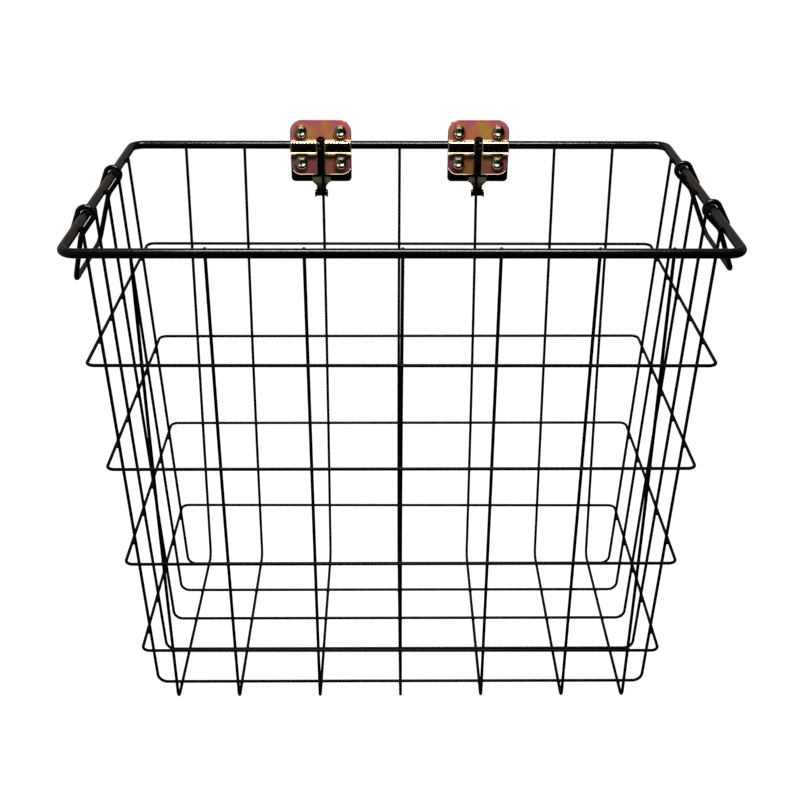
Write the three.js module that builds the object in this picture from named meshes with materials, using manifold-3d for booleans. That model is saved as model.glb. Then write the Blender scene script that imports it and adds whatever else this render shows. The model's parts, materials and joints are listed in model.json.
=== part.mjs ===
import * as THREE from "three";
import Module from "manifold-3d";

// Wire handlebar basket, millimetres, +Z up. The open rim is at the top, the side that
// hangs on the handlebar faces +Y, and the two bails hang on the short sides of the rim.
// Sizes below are measured from the centre of the rim rod, with z = 0 on its centreline.
const GAP = 0.3; // clearance kept between pieces that touch or are welded

// rim rod and basket wire
const ROD_D = 5.7;
const WIRE_D = 2.05;
const RIM_HALF_X = 188.0;
const RIM_HALF_Y = 113.4;
const RIM_CORNER_R = 8.5;
const TOP_HALF_X = RIM_HALF_X - (ROD_D + WIRE_D) / 2 - GAP;
const TOP_HALF_Y = RIM_HALF_Y - (ROD_D + WIRE_D) / 2 - GAP;
const DEPTH = 326.6; // rim centreline down to the lowest wire centreline
const BOTTOM_HALF_X = 165.4;
const BOTTOM_HALF_Y = 88.0;
const WIRE_BEND_R = 6.5;
const TIP_ABOVE_RIM = 1.4;
const LONG_WIRE_X = [-150.0, -109.0, -54.4, 0, 54.4, 109.0, 150.0];
const CROSS_WIRE_PITCH = 36.5;
const RING_PITCH = 70.8;
const RING_CORNER_R = 5;
const LAYER = WIRE_D + GAP; // centre distance of two crossing wires

// swinging bails on the short sides
const BAIL_D = 3.2;
const EYE_R = 4.7;
const BAIL_HALF_EYE = 42.3;
const BAIL_HALF_BAR = 36.5;
const BAIL_DROP = 45.5;
const BAIL_BEND_R = 7;
const LEFT_SLIDE = -2.5; // each bail sits off centre along the rod, between two side wires
const RIGHT_SLIDE = 8.7;
const LEFT_LEAN = 14; // degrees outward from hanging plumb
const RIGHT_LEAN = 22;

// rim brackets: inner plate, back plate with a tail, and the handlebar hook
const BRACKET_X = 55.6;
const PLATE_W = 43;
const INNER_T = 1.2;
const INNER_TOP = 17.9;
const INNER_BOTTOM = -21.2;
const CHANNEL_DEPTH = 3.9; // the channel over the rod: sheet centre in front of the rod's axis
const CHANNEL_TOP = 2.3;
const CHANNEL_BOTTOM = -4.95;
const CHANNEL_SLANT = 1.3;
const BACK_T = 1.5;
const BACK_TOP = 17.4;
const BACK_BOTTOM = -26.5;
const SLOT_W = 5.0;
const SLOT_TOP = 5.6;
const RIVET_X = 13.8;
const RIVET_UP_Z = 9.9;
const RIVET_LOW_Z = -12.4;
const RIVET_HEAD_R = 4.75;
const RIVET_SHANK_R = 2.2;
const TAIL_BOTTOM = -35.7;
const TAIL_T = 1.2;
const HOOK_T = 2.5;
const HOOK_W = 36;
const HOOK_BAR_R = 13; // takes a 25.4 mm handlebar
const HOOK_CENTRE_Z = -4.5;
const FOOT_KICK = 1.9; // the foot stands proud of the lower rivets' rear heads
const FOOT_BOTTOM = -26;

const wasm = await Module();
wasm.setup();

const BLACK = new THREE.MeshStandardMaterial({ color: 0x171514, roughness: 0.3, metalness: 0.1 });
const ZINC = new THREE.MeshStandardMaterial({ color: 0xc79a5e, roughness: 0.3, metalness: 1 });
const STEEL = new THREE.MeshStandardMaterial({ color: 0xcfc4a4, roughness: 0.2, metalness: 1 });

const root = new THREE.Group();
root.name = "handlebar_basket";

function add(name, geometry, material) {
  const mesh = new THREE.Mesh(geometry, material);
  mesh.name = name;
  root.add(mesh);
  return mesh;
}

const V = (x, y, z) => new THREE.Vector3(x, y, z);

// Replace every inner corner of a 3-D polyline with an arc; one radius, or one for each point.
function roundPath(points, radii, steps = 5, closed = false) {
  const out = [];
  const n = points.length;
  for (let i = 0; i < n; i++) {
    if (!closed && (i === 0 || i === n - 1)) {
      out.push(points[i].clone());
      continue;
    }
    const p = points[i];
    const r = Array.isArray(radii) ? radii[i] : radii;
    const a = points[(i + n - 1) % n].clone().sub(p).normalize();
    const b = points[(i + 1) % n].clone().sub(p).normalize();
    const half = Math.acos(THREE.MathUtils.clamp(a.dot(b), -1, 1)) / 2;
    if (half > 1.56) {
      out.push(p.clone());
      continue;
    }
    const centre = p.clone().addScaledVector(a.clone().add(b).normalize(), r / Math.sin(half));
    const t = r / Math.tan(half);
    const from = p.clone().addScaledVector(a, t).sub(centre);
    const to = p.clone().addScaledVector(b, t).sub(centre);
    const axis = from.clone().cross(to).normalize();
    const sweep = from.angleTo(to);
    for (let k = 0; k <= steps; k++) {
      out.push(from.clone().applyAxisAngle(axis, (sweep * k) / steps).add(centre));
    }
  }
  return out;
}

// A round rod of the given diameter along a polyline, closed on itself or with domed ends.
function rod(path, diameter, sides, closed = false) {
  const r = diameter / 2;
  const n = path.length;
  const stations = [];
  let normal = null;
  let last = null;
  for (let i = 0; i < n; i++) {
    const before = closed || i > 0 ? path[i].clone().sub(path[(i + n - 1) % n]).normalize() : null;
    const after = closed || i < n - 1 ? path[(i + 1) % n].clone().sub(path[i]).normalize() : null;
    const tangent = (before ?? after).clone().add(after ?? before).normalize();
    const stretch = before && after ? 1 / Math.max(0.5, before.dot(tangent)) : 1;
    if (normal === null) {
      normal = Math.abs(tangent.z) < 0.9 ? V(0, 0, 1) : V(0, 1, 0);
      normal.addScaledVector(tangent, -normal.dot(tangent)).normalize();
    } else {
      normal.applyQuaternion(new THREE.Quaternion().setFromUnitVectors(last, tangent)).normalize();
    }
    last = tangent;
    const side = tangent.clone().cross(normal).normalize();
    const bend = before && after ? before.clone().sub(after) : V(0, 0, 0);
    bend.addScaledVector(tangent, -bend.dot(tangent));
    if (bend.lengthSq() > 1e-9) bend.normalize();
    stations.push({ p: path[i], tangent, normal: normal.clone(), side, bend, stretch, r });
  }
  if (!closed) {
    for (const end of [0, 1]) {
      const s = stations[end ? stations.length - 1 : 0];
      const out = s.tangent.clone().multiplyScalar(end ? 1 : -1);
      const cap = { ...s, p: s.p.clone().addScaledVector(out, r * 0.45), r: r * 0.72 };
      if (end) stations.push(cap);
      else stations.unshift(cap);
    }
  }
  const positions = [];
  const index = [];
  for (const s of stations) {
    for (let k = 0; k < sides; k++) {
      const a = (2 * Math.PI * k) / sides;
      const d = s.normal.clone().multiplyScalar(Math.cos(a)).addScaledVector(s.side, Math.sin(a));
      const widen = d.dot(s.bend) * (s.stretch - 1);
      d.addScaledVector(s.bend, widen);
      positions.push(...s.p.clone().addScaledVector(d, s.r).toArray());
    }
  }
  const rings = stations.length;
  const last_ring = closed ? rings : rings - 1;
  for (let i = 0; i < last_ring; i++) {
    const j = (i + 1) % rings;
    for (let k = 0; k < sides; k++) {
      const m = (k + 1) % sides;
      index.push(i * sides + k, i * sides + m, j * sides + m);
      index.push(i * sides + k, j * sides + m, j * sides + k);
    }
  }
  if (!closed) {
    for (const end of [0, 1]) {
      const s = stations[end ? rings - 1 : 0];
      const out = s.tangent.clone().multiplyScalar(end ? 1 : -1);
      positions.push(...s.p.clone().addScaledVector(out, r * 0.2).toArray());
      const apex = positions.length / 3 - 1;
      const base = end ? (rings - 1) * sides : 0;
      for (let k = 0; k < sides; k++) {
        const m = (k + 1) % sides;
        if (end) index.push(base + k, base + m, apex);
        else index.push(base + m, base + k, apex);
      }
    }
  }
  const geometry = new THREE.BufferGeometry();
  geometry.setAttribute("position", new THREE.Float32BufferAttribute(positions, 3));
  geometry.setIndex(index);
  geometry.computeVertexNormals();
  return geometry;
}

// A level rounded-rectangle hoop.
function hoop(halfX, halfY, z, cornerR, diameter, sides, steps) {
  const corners = [V(halfX, -halfY, z), V(halfX, halfY, z), V(-halfX, halfY, z), V(-halfX, -halfY, z)];
  return rod(roundPath(corners, cornerR, steps, true), diameter, sides, true);
}

function toManifold(geometry) {
  const indexed = geometry.index !== null;
  const position = geometry.attributes.position;
  const keys = new Map();
  const vertices = [];
  const remap = [];
  for (let i = 0; i < position.count; i++) {
    const p = [position.getX(i), position.getY(i), position.getZ(i)];
    const key = p.map((v) => Math.round(v * 1e4)).join(",");
    if (!keys.has(key)) {
      keys.set(key, vertices.length / 3);
      vertices.push(...p);
    }
    remap.push(keys.get(key));
  }
  const count = indexed ? geometry.index.count : position.count;
  const triangles = [];
  for (let i = 0; i < count; i += 3) {
    const t = [0, 1, 2].map((k) => remap[indexed ? geometry.index.getX(i + k) : i + k]);
    if (t[0] !== t[1] && t[1] !== t[2] && t[2] !== t[0]) triangles.push(...t);
  }
  const mesh = new wasm.Mesh({
    numProp: 3,
    vertProperties: new Float32Array(vertices),
    triVerts: new Uint32Array(triangles),
  });
  return new wasm.Manifold(mesh);
}

function fromManifold(solid) {
  const mesh = solid.getMesh();
  const geometry = new THREE.BufferGeometry();
  geometry.setAttribute("position", new THREE.Float32BufferAttribute(Array.from(mesh.vertProperties), 3));
  geometry.setIndex(Array.from(mesh.triVerts));
  return geometry;
}

// Round the corners of a 2-D outline; each corner is [x, y, radius].
function roundedShape(corners, steps = 6) {
  const points = [];
  const n = corners.length;
  for (let i = 0; i < n; i++) {
    const p = new THREE.Vector2(corners[i][0], corners[i][1]);
    const r = corners[i][2] ?? 0;
    if (r === 0) {
      points.push(p);
      continue;
    }
    const a = new THREE.Vector2(...corners[(i + n - 1) % n].slice(0, 2)).sub(p).normalize();
    const b = new THREE.Vector2(...corners[(i + 1) % n].slice(0, 2)).sub(p).normalize();
    const half = Math.acos(THREE.MathUtils.clamp(a.dot(b), -1, 1)) / 2;
    const centre = p.clone().addScaledVector(a.clone().add(b).normalize(), r / Math.sin(half));
    const from = p.clone().addScaledVector(a, r / Math.tan(half)).sub(centre);
    const to = p.clone().addScaledVector(b, r / Math.tan(half)).sub(centre);
    const turn = Math.sign(from.cross(to)) * Math.acos(THREE.MathUtils.clamp(from.dot(to) / (r * r), -1, 1));
    for (let k = 0; k <= steps; k++) {
      points.push(from.clone().rotateAround(new THREE.Vector2(), (turn * k) / steps).add(centre));
    }
  }
  return new THREE.Shape(points);
}

// Front outline in x and z, extruded along Y from y0 to y1.
function prismXZ(corners, y0, y1, steps) {
  const options = { depth: y1 - y0, bevelEnabled: false };
  const geometry = new THREE.ExtrudeGeometry(roundedShape(corners, steps), options);
  geometry.rotateX(Math.PI / 2);
  geometry.translate(0, y1, 0);
  return toManifold(geometry);
}

// Bent sheet: a side profile (list of [y, z]) given a thickness and extruded along X.
function sheet(profile, thickness, width) {
  const left = [];
  const right = [];
  for (let i = 0; i < profile.length; i++) {
    const p = new THREE.Vector2(...profile[i]);
    const before = i > 0 ? p.clone().sub(new THREE.Vector2(...profile[i - 1])).normalize() : null;
    const after = i < profile.length - 1 ? new THREE.Vector2(...profile[i + 1]).sub(p).normalize() : null;
    const t = (before ?? after).clone().add(after ?? before).normalize();
    const k = before && after ? 1 / before.dot(t) : 1;
    const n = new THREE.Vector2(-t.y, t.x).multiplyScalar((thickness / 2) * k);
    left.push(p.clone().add(n));
    right.push(p.clone().sub(n));
  }
  const shape = new THREE.Shape([...left, ...right.reverse()]);
  const geometry = new THREE.ExtrudeGeometry(shape, { depth: width, bevelEnabled: false });
  // profile (y, z) lies in the extrusion plane; turn it so the depth runs along X
  geometry.applyMatrix4(new THREE.Matrix4().set(0, 0, 1, -width / 2, 1, 0, 0, 0, 0, 1, 0, 0, 0, 0, 0, 1));
  return toManifold(geometry);
}

function arc2(cy, cz, r, from, to, steps) {
  const points = [];
  for (let i = 0; i <= steps; i++) {
    const a = THREE.MathUtils.degToRad(from + ((to - from) * i) / steps);
    points.push([cy + r * Math.cos(a), cz + r * Math.sin(a)]);
  }
  return points;
}

// Side profile of the back plate, with a half-round bulge over the rod toward the handlebar.
function bulgedProfile(flatY, top, bottom, bulgeR, filletR) {
  const reach = flatY + filletR - RIM_HALF_Y;
  const rise = Math.sqrt((bulgeR + filletR) ** 2 - reach ** 2);
  const lean = THREE.MathUtils.radToDeg(Math.atan2(rise, reach));
  const upper = arc2(flatY + filletR, rise, filletR, 180, 180 + lean, 3);
  const lower = arc2(flatY + filletR, -rise, filletR, 180 - lean, 180, 3);
  const bulge = arc2(RIM_HALF_Y, 0, bulgeR, lean, -lean, 8).slice(1, -1);
  return [[flatY, top], ...upper, ...bulge, ...lower, [flatY, bottom]];
}

// ---- rim and basket wires ----
add("rim_rod", hoop(RIM_HALF_X, RIM_HALF_Y, 0, RIM_CORNER_R, ROD_D, 14, 6), BLACK);

const slopeX = (TOP_HALF_X - BOTTOM_HALF_X) / DEPTH;
const slopeY = (TOP_HALF_Y - BOTTOM_HALF_Y) / DEPTH;
for (let k = 1; k <= 4; k++) {
  const z = -k * RING_PITCH;
  const halfX = TOP_HALF_X + slopeX * z + LAYER;
  const halfY = TOP_HALF_Y + slopeY * z + LAYER;
  add(`ring_wire_${k}`, hoop(halfX, halfY, z, RING_CORNER_R, WIRE_D, 8, 5), BLACK);
}

LONG_WIRE_X.forEach((x, i) => {
  const y = TOP_HALF_Y + slopeY * TIP_ABOVE_RIM;
  const path = [V(x, -y, TIP_ABOVE_RIM), V(x, -BOTTOM_HALF_Y, -DEPTH), V(x, BOTTOM_HALF_Y, -DEPTH)];
  path.push(V(x, y, TIP_ABOVE_RIM));
  add(`long_wire_${i + 1}`, rod(roundPath(path, WIRE_BEND_R, 4), WIRE_D, 8), BLACK);
});

for (let j = 0; j < 5; j++) {
  const y = (j - 2) * CROSS_WIRE_PITCH;
  const x = TOP_HALF_X + slopeX * TIP_ABOVE_RIM;
  const floor = -DEPTH + LAYER;
  const halfX = BOTTOM_HALF_X + slopeX * LAYER;
  const path = [V(-x, y, TIP_ABOVE_RIM), V(-halfX, y, floor), V(halfX, y, floor), V(x, y, TIP_ABOVE_RIM)];
  add(`cross_wire_${j + 1}`, rod(roundPath(path, WIRE_BEND_R, 4), WIRE_D, 8), BLACK);
}

// ---- bails ----
// Each eye comes up from the leg on the inner side, over the rod and down the outer side to a
// short straight end. This is the angle where the straight run from point (o, w) touches it.
function touchAngle(o, w, side) {
  return Math.atan2(w, o) + side * Math.acos(EYE_R / Math.hypot(o, w));
}

function bail(side, slide, leanDegrees) {
  const legO = 0.8;
  const neckW = -14;
  const endO = 6.2;
  const endW = -12.2;
  const half = (sign) => {
    const y = sign * BAIL_HALF_EYE;
    const from = touchAngle(endO, endW, 1);
    let to = touchAngle(legO, neckW, -1);
    while (to < from) to += 2 * Math.PI;
    const points = [V(endO, y, endW)];
    for (let i = 0; i <= 14; i++) {
      const a = from + ((to - from) * i) / 14;
      points.push(V(EYE_R * Math.cos(a), y, EYE_R * Math.sin(a)));
    }
    const lowCorner = V(legO, sign * BAIL_HALF_BAR, -BAIL_DROP);
    const corners = [points.pop(), V(legO, y, neckW), lowCorner, V(legO, 0, -BAIL_DROP)];
    const neck = roundPath(corners.slice(0, 3), 8, 2).slice(0, -1);
    const bend = roundPath(corners.slice(1), BAIL_BEND_R, 5).slice(1, -1);
    return [...points, ...neck, ...bend];
  };
  const local = [...half(1), ...half(-1).reverse()];
  const lean = THREE.MathUtils.degToRad(leanDegrees);
  const path = local.map(({ x: o, y, z: w }) => {
    const out = o * Math.cos(lean) - w * Math.sin(lean);
    const up = w * Math.cos(lean) + o * Math.sin(lean);
    return V(side * (RIM_HALF_X + out), slide + y, up);
  });
  return rod(path, BAIL_D, 8);
}
add("bail_left", bail(-1, LEFT_SLIDE, LEFT_LEAN), BLACK);
add("bail_right", bail(1, RIGHT_SLIDE, RIGHT_LEAN), BLACK);

// ---- brackets ----
function rivet(length) {
  // turned about the Y axis, with the domed head toward -Y
  const profile = [new THREE.Vector2(0, -length - 1.3)];
  profile.push(new THREE.Vector2(2.9, -length - 1.3), new THREE.Vector2(3.2, -length - 0.9));
  profile.push(new THREE.Vector2(3.2, -length), new THREE.Vector2(RIVET_SHANK_R, -length));
  profile.push(new THREE.Vector2(RIVET_SHANK_R, 0), new THREE.Vector2(RIVET_HEAD_R, 0));
  const domeH = 3.3;
  for (let i = 1; i < 5; i++) {
    const a = (i / 5) * (Math.PI / 2);
    profile.push(new THREE.Vector2(RIVET_HEAD_R * Math.cos(a) ** 0.9, domeH * Math.sin(a)));
  }
  profile.push(new THREE.Vector2(0, domeH));
  const geometry = new THREE.LatheGeometry(profile, 16);
  geometry.rotateX(Math.PI);
  return toManifold(geometry);
}

function cylinderY(x, z, r) {
  return wasm.Manifold.cylinder(60, r, r, 16).rotate([90, 0, 0]).translate([x, RIM_HALF_Y + 30, z]);
}

function innerPlate() {
  const flatY = RIM_HALF_Y - GAP / 2 - INNER_T / 2;
  const channelY = RIM_HALF_Y - CHANNEL_DEPTH;
  const bends = [V(0, flatY, INNER_TOP), V(0, flatY, CHANNEL_TOP + CHANNEL_SLANT)];
  bends.push(V(0, channelY, CHANNEL_TOP), V(0, channelY, CHANNEL_BOTTOM));
  bends.push(V(0, flatY, CHANNEL_BOTTOM - CHANNEL_SLANT), V(0, flatY, INNER_BOTTOM));
  const profile = roundPath(bends, [0, 2, 3, 3, 1, 0], 4).map((p) => [p.y, p.z]);
  const w = PLATE_W / 2;
  const s = SLOT_W / 2;
  const outline = [[-w, INNER_BOTTOM, 7], [-s, INNER_BOTTOM, 0.8], [-s, SLOT_TOP, 2.4], [s, SLOT_TOP, 2.4]];
  outline.push([s, INNER_BOTTOM, 0.8], [w, INNER_BOTTOM, 7], [w, INNER_TOP, 8.5], [-w, INNER_TOP, 8.5]);
  let plate = sheet(profile, INNER_T, PLATE_W + 2);
  plate = plate.intersect(prismXZ(outline, RIM_HALF_Y - 20, RIM_HALF_Y + 20, 5));
  return drill(plate);
}

function drill(plate) {
  let result = plate;
  for (const x of [-RIVET_X, RIVET_X]) {
    for (const z of [RIVET_UP_Z, RIVET_LOW_Z]) {
      result = result.subtract(cylinderY(x, z, RIVET_SHANK_R + GAP));
    }
  }
  return result;
}

const backFlatY = RIM_HALF_Y + GAP / 2 + BACK_T / 2;
const wireYAt = (z) => TOP_HALF_Y + slopeY * z;

function backPlate() {
  const w = PLATE_W / 2;
  const bulgeR = ROD_D / 2 + GAP + BACK_T / 2;
  const profile = bulgedProfile(backFlatY, BACK_TOP, BACK_BOTTOM, bulgeR, 1.6);
  let plate = sheet(profile, BACK_T, PLATE_W + 2);
  const outline = [[-w, BACK_BOTTOM, 3], [w, BACK_BOTTOM, 3], [w, BACK_TOP, 8.5], [-w, BACK_TOP, 8.5]];
  plate = plate.intersect(prismXZ(outline, RIM_HALF_Y - 20, RIM_HALF_Y + 20, 5));
  // tail: steps forward to the upright wire and ends in two ears folded round it
  const webY = wireYAt(TAIL_BOTTOM) + WIRE_D / 2 + GAP + 0.35 + TAIL_T / 2;
  const tailPath = roundPath(
    [V(0, backFlatY, -20), V(0, backFlatY, -23), V(0, webY, -30.5), V(0, webY, TAIL_BOTTOM)],
    2.5,
    3,
  ).map((p) => [p.y, p.z]);
  const tailOutline = [
    [-6.4, -19, 0],
    [-6.4, -26.4, 1],
    [-3.2, -28.4, 2.6],
    [-3.2, -31, 0.8],
    [-4.6, -31.4, 0.5],
    [-4.6, TAIL_BOTTOM, 0.8],
  ];
  const mirrored = tailOutline.map(([x, z, r]) => [-x, z, r]).reverse();
  let tail = sheet(tailPath, TAIL_T, 20);
  tail = tail.intersect(prismXZ([...tailOutline, ...mirrored], RIM_HALF_Y - 20, RIM_HALF_Y + 20, 3));
  const ear = (sign) => {
    const x0 = sign < 0 ? -4.6 : 3.4;
    return wasm.Manifold.cube([1.2, 4.4, 4.0]).translate([x0, webY - 4.4, TAIL_BOTTOM + 0.3]);
  };
  return drill(plate).add(tail).add(ear(-1)).add(ear(1));
}

function hook() {
  const legY = backFlatY + BACK_T / 2 + GAP + HOOK_T / 2;
  const farY = RIM_HALF_Y + ROD_D / 2 + GAP + BACK_T + GAP + HOOK_T / 2 + 0.2;
  const r = HOOK_BAR_R + HOOK_T / 2;
  const centreY = farY + r;
  const footY = legY + FOOT_KICK;
  const foot = [V(0, footY, FOOT_BOTTOM), V(0, footY, -19.3), V(0, legY, -16.6), V(0, legY, -12.4)];
  const jog = [V(0, legY, -12.4), V(0, legY, -8.2), V(0, farY, -4.9), V(0, farY, HOOK_CENTRE_Z + 0.9)];
  const lip = roundPath(
    [V(0, centreY + r, HOOK_CENTRE_Z), V(0, centreY + r, -15), V(0, centreY + r + 3, -20.5)],
    5,
    3,
  );
  const leg = [...roundPath(foot, 2.5, 3).slice(0, -1), ...roundPath(jog, 3, 4).slice(1)];
  const profile = leg.map((p) => [p.y, p.z]);
  profile.push(...arc2(centreY, HOOK_CENTRE_Z, r, 170, 0, 17).slice(0, -1));
  profile.push(...lip.map((p) => [p.y, p.z]));
  let strap = sheet(profile, HOOK_T, HOOK_W);
  for (const x of [-RIVET_X, RIVET_X]) {
    const hole = wasm.Manifold.cylinder(12, RIVET_SHANK_R + GAP, RIVET_SHANK_R + GAP, 16);
    strap = strap.subtract(hole.rotate([90, 0, 0]).translate([x, legY + 6, RIVET_LOW_Z]));
  }
  return strap;
}

const innerFaceY = RIM_HALF_Y - GAP / 2 - INNER_T - GAP;
const upperGrip = INNER_T + BACK_T + 3 * GAP;
const lowerGrip = upperGrip + HOOK_T + GAP;
for (const [label, x] of [["left", -BRACKET_X], ["right", BRACKET_X]]) {
  add(`inner_plate_${label}`, fromManifold(innerPlate().translate([x, 0, 0])), ZINC);
  add(`back_plate_${label}`, fromManifold(backPlate().translate([x, 0, 0])), ZINC);
  add(`handlebar_hook_${label}`, fromManifold(hook().translate([x, 0, 0])), ZINC);
  const places = [
    ["upper_a", -RIVET_X, RIVET_UP_Z, upperGrip],
    ["upper_b", RIVET_X, RIVET_UP_Z, upperGrip],
    ["lower_a", -RIVET_X, RIVET_LOW_Z, lowerGrip],
    ["lower_b", RIVET_X, RIVET_LOW_Z, lowerGrip],
  ];
  for (const [where, dx, z, grip] of places) {
    add(`rivet_${label}_${where}`, fromManifold(rivet(grip).translate([x + dx, innerFaceY, z])), STEEL);
  }
}

// The origin is the middle of the overall box in x and y, at the underside of the floor wires.
root.updateMatrixWorld(true);
const box = new THREE.Box3().setFromObject(root);
const shift = V(-(box.min.x + box.max.x) / 2, -(box.min.y + box.max.y) / 2, -box.min.z);
for (const mesh of root.children) {
  mesh.geometry.translate(shift.x, shift.y, shift.z);
}

export default root;
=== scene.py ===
import json
import math
import random

import bmesh
import bpy
from mathutils import Matrix, Quaternion, Vector

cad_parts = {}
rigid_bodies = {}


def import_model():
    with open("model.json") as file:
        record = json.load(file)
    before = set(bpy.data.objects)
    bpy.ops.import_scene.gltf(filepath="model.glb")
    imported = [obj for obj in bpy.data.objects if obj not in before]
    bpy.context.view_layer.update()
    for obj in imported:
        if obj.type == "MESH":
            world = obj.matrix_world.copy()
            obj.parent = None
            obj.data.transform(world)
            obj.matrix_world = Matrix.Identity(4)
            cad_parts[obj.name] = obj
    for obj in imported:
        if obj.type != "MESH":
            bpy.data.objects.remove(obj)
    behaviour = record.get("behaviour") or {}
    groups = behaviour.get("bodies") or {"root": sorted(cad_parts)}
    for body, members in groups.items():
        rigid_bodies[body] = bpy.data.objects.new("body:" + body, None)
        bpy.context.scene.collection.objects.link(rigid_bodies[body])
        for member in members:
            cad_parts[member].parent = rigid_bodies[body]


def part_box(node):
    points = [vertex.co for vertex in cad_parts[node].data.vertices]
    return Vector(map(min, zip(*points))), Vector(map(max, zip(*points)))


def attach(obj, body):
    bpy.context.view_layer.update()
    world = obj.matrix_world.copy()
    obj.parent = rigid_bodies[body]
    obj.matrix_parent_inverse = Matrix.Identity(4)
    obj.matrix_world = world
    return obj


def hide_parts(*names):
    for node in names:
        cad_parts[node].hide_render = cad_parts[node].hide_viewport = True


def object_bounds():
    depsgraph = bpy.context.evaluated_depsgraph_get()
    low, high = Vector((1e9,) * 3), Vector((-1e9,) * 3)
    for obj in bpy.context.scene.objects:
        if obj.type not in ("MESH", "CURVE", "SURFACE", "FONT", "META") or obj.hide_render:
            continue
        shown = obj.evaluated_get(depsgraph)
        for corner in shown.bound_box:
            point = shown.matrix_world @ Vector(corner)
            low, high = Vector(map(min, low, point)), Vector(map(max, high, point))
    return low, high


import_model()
cad_lo, cad_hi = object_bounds()

# ---------------------------------------------------------------- sizes, in millimetres
# Everything is laid out from the middle of the rim rod, as the CAD is.
ROD_R = 5.7 / 2
WIRE_R = 2.05 / 2
GAP = 0.3
RIM_HALF_X, RIM_HALF_Y, RIM_CORNER_R = 188.0, 113.4, 8.5
TOP_HALF_X = RIM_HALF_X - ROD_R - WIRE_R - GAP
TOP_HALF_Y = RIM_HALF_Y - ROD_R - WIRE_R - GAP
DEPTH = 326.6
BOTTOM_HALF_X, BOTTOM_HALF_Y = 165.4, 88.0
WIRE_BEND_R = 6.5
TIP_ABOVE_RIM = 1.4
LONG_WIRE_X = (-150.0, -109.0, -54.4, 0.0, 54.4, 109.0, 150.0)
CROSS_WIRE_Y = (-73.0, -36.5, 0.0, 36.5, 73.0)
RING_PITCH = 70.8
RING_CORNER_R = 5.0
LAYER = 2 * WIRE_R + GAP
SLOPE_X = (TOP_HALF_X - BOTTOM_HALF_X) / DEPTH
SLOPE_Y = (TOP_HALF_Y - BOTTOM_HALF_Y) / DEPTH

DOME = 0.8  # a wire's end is a dome this share of its radius high
WELD_R, WELD_THROUGH_R = 1.35, 1.25  # a weld lump along the wires, and through them

BAIL_R = 1.6
EYE_R = 4.7
BAIL_HALF_EYE, BAIL_HALF_BAR, BAIL_DROP = 42.3, 36.5, 45.5
BAIL_BEND_R = 7.0
# in an eye's own plane, from the rod's axis: outward, then up
LEG_OUT, NECK_UP = 0.8, -14.0
EYE_TAIL = (6.2, -12.2)
LEFT_SLIDE, RIGHT_SLIDE = -2.5, 8.7
LEFT_LEAN, RIGHT_LEAN = 14.0, 22.0

BRACKET_X = 55.6
PLATE_HALF = 21.5
INNER_T, INNER_TOP, INNER_BOTTOM = 1.2, 17.9, -21.2
BACK_T, BACK_TOP, BACK_BOTTOM = 1.5, 17.4, -26.5
SLOT_HALF, SLOT_TOP = 2.5, 5.6
RIVET_X, RIVET_UP_Z, RIVET_LOW_Z = 13.8, 9.9, -12.4
RIVET_HEAD_R, RIVET_SHANK_R = 4.75, 2.2
BACK_LOW_CORNER_R = 3.0
TAIL_BOTTOM, TAIL_T = -35.7, 1.2
TAIL_ROOT_HALF, TAIL_NECK_HALF, TAIL_FOOT_HALF = 6.4, 3.3, 4.6
EAR_T, EAR_LENGTH, EAR_HEIGHT = 1.15, 4.4, 4.0
HOOK_T, HOOK_HALF, HOOK_BAR_R, HOOK_CENTRE_Z = 2.5, 18.0, 13.0, -4.5
FOOT_KICK, FOOT_BOTTOM = 1.9, -26.0
# the inner plate's channel: its sheet's centre in front of the rod's axis, and its bends
CHANNEL_DEPTH, CHANNEL_TOP, CHANNEL_BOTTOM, CHANNEL_SLANT = 3.9, 2.3, -4.95, 1.3
CHANNEL_RADII = (2, 3, 3, 1)
EDGE_ROLL = 0.9  # how far the inner plate's rolled edge reaches in from its outline
TOP_CORNER_R, LOW_CORNER_R = 8.5, 7.0
SHARP_EDGE = 50.0  # degrees; flatter edges are shaded smooth
DARK_POLISH = 1.0  # the back plate and its tongue are mirror bright, so they look dark from inside

rim_lo, rim_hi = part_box("rim_rod")
RIM_CENTRE = (rim_lo + rim_hi) / 2
random.seed(7)


def at(x, y, z):
    """A point given in millimetres from the rim's centre, in metres in the row frame."""
    return RIM_CENTRE + Vector((x, y, z)) / 1000


# ---------------------------------------------------------------- mesh helpers
def link_mesh(name, verts, faces):
    """A smooth-shaded object from points in millimetres."""
    mesh = bpy.data.meshes.new(name)
    mesh.from_pydata([at(*v) for v in verts], [], faces)
    mesh.validate()
    mesh.update()
    obj = bpy.data.objects.new(name, mesh)
    bpy.context.scene.collection.objects.link(obj)
    for p in mesh.polygons:
        p.use_smooth = True
    return obj


def round_path(points, radii, steps, closed=False):
    """The polyline with each inner corner turned into an arc."""
    pts = [Vector(p) for p in points]
    n = len(pts)
    if not hasattr(radii, "__len__"):
        radii = [radii] * n
    out = []
    for i, p in enumerate(pts):
        if not closed and i in (0, n - 1):
            out.append(p.copy())
            continue
        a = (pts[i - 1] - p).normalized()
        b = (pts[(i + 1) % n] - p).normalized()
        half = a.angle(b) / 2
        if half > 1.56 or radii[i] == 0:
            out.append(p.copy())
            continue
        r = radii[i]
        centre = p + (a + b).normalized() * (r / math.sin(half))
        t = r / math.tan(half)
        start, end = p + a * t - centre, p + b * t - centre
        axis = start.cross(end).normalized()
        sweep = start.angle(end)
        for k in range(steps + 1):
            out.append(centre + Quaternion(axis, sweep * k / steps) @ start)
    return out


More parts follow.
